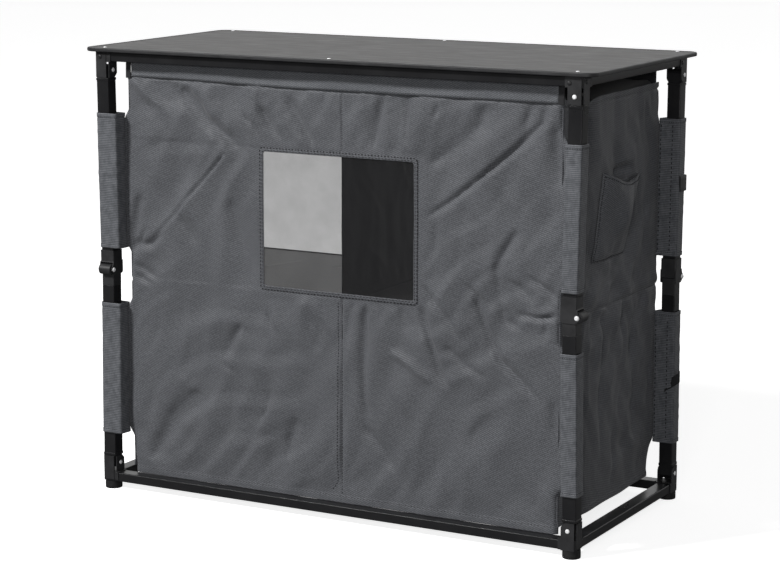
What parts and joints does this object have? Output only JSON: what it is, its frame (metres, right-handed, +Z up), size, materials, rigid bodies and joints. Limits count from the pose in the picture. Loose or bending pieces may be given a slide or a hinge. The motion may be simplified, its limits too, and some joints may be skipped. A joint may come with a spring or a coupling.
{
  "type": "camping cupboard",
  "caption": "Folding camp kitchen cupboard: a grey worktop on a black tube frame with knee-hinged legs and a hung cloth cabinet with a clear window, a divider and shelves.",
  "frame": {"origin": "centre of the footprint on the ground, under the feet", "axes": "+X to the right as seen from the front, +Y to the back, +Z up; the front with the window faces -Y"},
  "size_m": [0.981, 0.459, 0.8],
  "materials": {
    "black_plastic": "moulded black plastic, fine grain, soft sheen",
    "black_tube": "black powder coat on thin square tube",
    "bright_steel": "bright plated rivet",
    "board_grey": "dark grey laminate with a fine grain",
    "trim_black": "black edge moulding, soft sheen",
    "rubber_black": "matt black rubber",
    "cloth_grey": "dark blue-grey coated polyester, woven",
    "shelf_grey": "dark grey cloth over a stiff sheet",
    "clear_film": "clear flexible film"
  },
  "bodies": {
    "base": {"bottom_rail_front": "black_tube", "bottom_rail_back": "black_tube", "bottom_rail_left": "black_tube", "bottom_rail_right": "black_tube", "bottom_bracket_front_right": "black_plastic", "bottom_bracket_back_right": "black_plastic", "bottom_bracket_back_left": "black_plastic", "bottom_bracket_front_left": "black_plastic", "foot_front_right": "rubber_black", "foot_back_right": "rubber_black", "foot_back_left": "rubber_black", "foot_front_left": "rubber_black", "front_panel": "cloth_grey", "window_film": "clear_film", "left_side_panel": "cloth_grey", "right_side_panel": "cloth_grey", "side_pocket": "cloth_grey", "top_panel": "cloth_grey", "divider": "cloth_grey", "floor_panel": "shelf_grey"},
    "lower_leg_front_right": {"lower_leg_front_right": "black_tube", "lower_knuckle_front_right": "black_plastic", "lower_sleeve_front_right": "cloth_grey"},
    "lower_leg_back_right": {"lower_leg_back_right": "black_tube", "lower_knuckle_back_right": "black_plastic", "lower_sleeve_back_right": "cloth_grey"},
    "lower_leg_back_left": {"lower_leg_back_left": "black_tube", "lower_knuckle_back_left": "black_plastic", "lower_sleeve_back_left": "cloth_grey"},
    "lower_leg_front_left": {"lower_leg_front_left": "black_tube", "lower_knuckle_front_left": "black_plastic", "lower_sleeve_front_left": "cloth_grey"},
    "upper_leg_front_right": {"upper_leg_front_right": "black_tube", "knee_cap_front_right": "black_plastic", "knee_pin_front_right": "bright_steel", "upper_sleeve_front_right": "cloth_grey"},
    "upper_leg_back_right": {"upper_leg_back_right": "black_tube", "knee_cap_back_right": "black_plastic", "knee_pin_back_right": "bright_steel", "upper_sleeve_back_right": "cloth_grey"},
    "upper_leg_back_left": {"upper_leg_back_left": "black_tube", "knee_cap_back_left": "black_plastic", "knee_pin_back_left": "bright_steel", "upper_sleeve_back_left": "cloth_grey"},
    "upper_leg_front_left": {"upper_leg_front_left": "black_tube", "knee_cap_front_left": "black_plastic", "knee_pin_front_left": "bright_steel", "upper_sleeve_front_left": "cloth_grey"},
    "table": {"table_board": "board_grey", "board_trim": "trim_black", "top_rail_front": "black_tube", "top_rail_back": "black_tube", "top_rail_left": "black_tube", "top_rail_right": "black_tube", "top_bracket_front_right": "black_plastic", "top_bracket_back_right": "black_plastic", "top_bracket_back_left": "black_plastic", "top_bracket_front_left": "black_plastic"},
    "shelf_left": {"shelf_left": "shelf_grey"},
    "shelf_right": {"shelf_right": "shelf_grey"}
  },
  "joints": [
    {"name": "fold_front_right", "type": "hinge", "parent": "base", "child": "lower_leg_front_right", "pos_m": [0.4545, -0.208, 0.0475], "axis": [0, -1, 0], "range_deg": [0, 89], "deforming": ["front_panel", "window_film", "left_side_panel", "right_side_panel", "side_pocket", "top_panel", "divider"]},
    {"name": "fold_back_right", "type": "hinge", "parent": "base", "child": "lower_leg_back_right", "pos_m": [0.456, 0.2065, 0.0475], "axis": [1, 0, 0], "range_deg": [0, 89]},
    {"name": "fold_back_left", "type": "hinge", "parent": "base", "child": "lower_leg_back_left", "pos_m": [-0.4545, 0.208, 0.0475], "axis": [0, 1, 0], "range_deg": [0, 89]},
    {"name": "fold_front_left", "type": "hinge", "parent": "base", "child": "lower_leg_front_left", "pos_m": [-0.456, -0.2065, 0.0475], "axis": [-1, 0, 0], "range_deg": [0, 89]},
    {"name": "knee_front_right", "type": "hinge", "parent": "lower_leg_front_right", "child": "upper_leg_front_right", "pos_m": [0.46478, -0.208, 0.404], "axis": [0, 1, 0], "range_deg": [0, 178]},
    {"name": "knee_back_right", "type": "hinge", "parent": "lower_leg_back_right", "child": "upper_leg_back_right", "pos_m": [0.456, 0.21678, 0.404], "axis": [-1, 0, 0], "range_deg": [0, 178]},
    {"name": "knee_back_left", "type": "hinge", "parent": "lower_leg_back_left", "child": "upper_leg_back_left", "pos_m": [-0.46478, 0.208, 0.404], "axis": [0, -1, 0], "range_deg": [0, 178]},
    {"name": "knee_front_left", "type": "hinge", "parent": "lower_leg_front_left", "child": "upper_leg_front_left", "pos_m": [-0.456, -0.21678, 0.404], "axis": [1, 0, 0], "range_deg": [0, 178]},
    {"name": "table_pivot_front_right", "type": "hinge", "parent": "upper_leg_front_right", "child": "table", "pos_m": [0.4545, -0.208, 0.7605], "axis": [0, -1, 0], "range_deg": [0, 89]},
    {"name": "shelf_drop_left", "type": "slide", "parent": "base", "child": "shelf_left", "axis": [0, 0, -1], "range_m": [0, 0.3]},
    {"name": "shelf_drop_right", "type": "slide", "parent": "base", "child": "shelf_right", "axis": [0, 0, -1], "range_m": [0, 0.3]}
  ],
  "couplings": [
    {"joint": "fold_back_right", "follows": "fold_front_right", "ratio": 1},
    {"joint": "fold_back_left", "follows": "fold_front_right", "ratio": 1},
    {"joint": "fold_front_left", "follows": "fold_front_right", "ratio": 1},
    {"joint": "knee_front_right", "follows": "fold_front_right", "ratio": 2},
    {"joint": "knee_back_right", "follows": "fold_front_right", "ratio": 2},
    {"joint": "knee_back_left", "follows": "fold_front_right", "ratio": 2},
    {"joint": "knee_front_left", "follows": "fold_front_right", "ratio": 2},
    {"joint": "table_pivot_front_right", "follows": "fold_front_right", "ratio": 1},
    {"joint": "shelf_drop_left", "follows": "fold_front_right", "m_per_rad": 0.193},
    {"joint": "shelf_drop_right", "follows": "fold_front_right", "m_per_rad": 0.193}
  ]
}
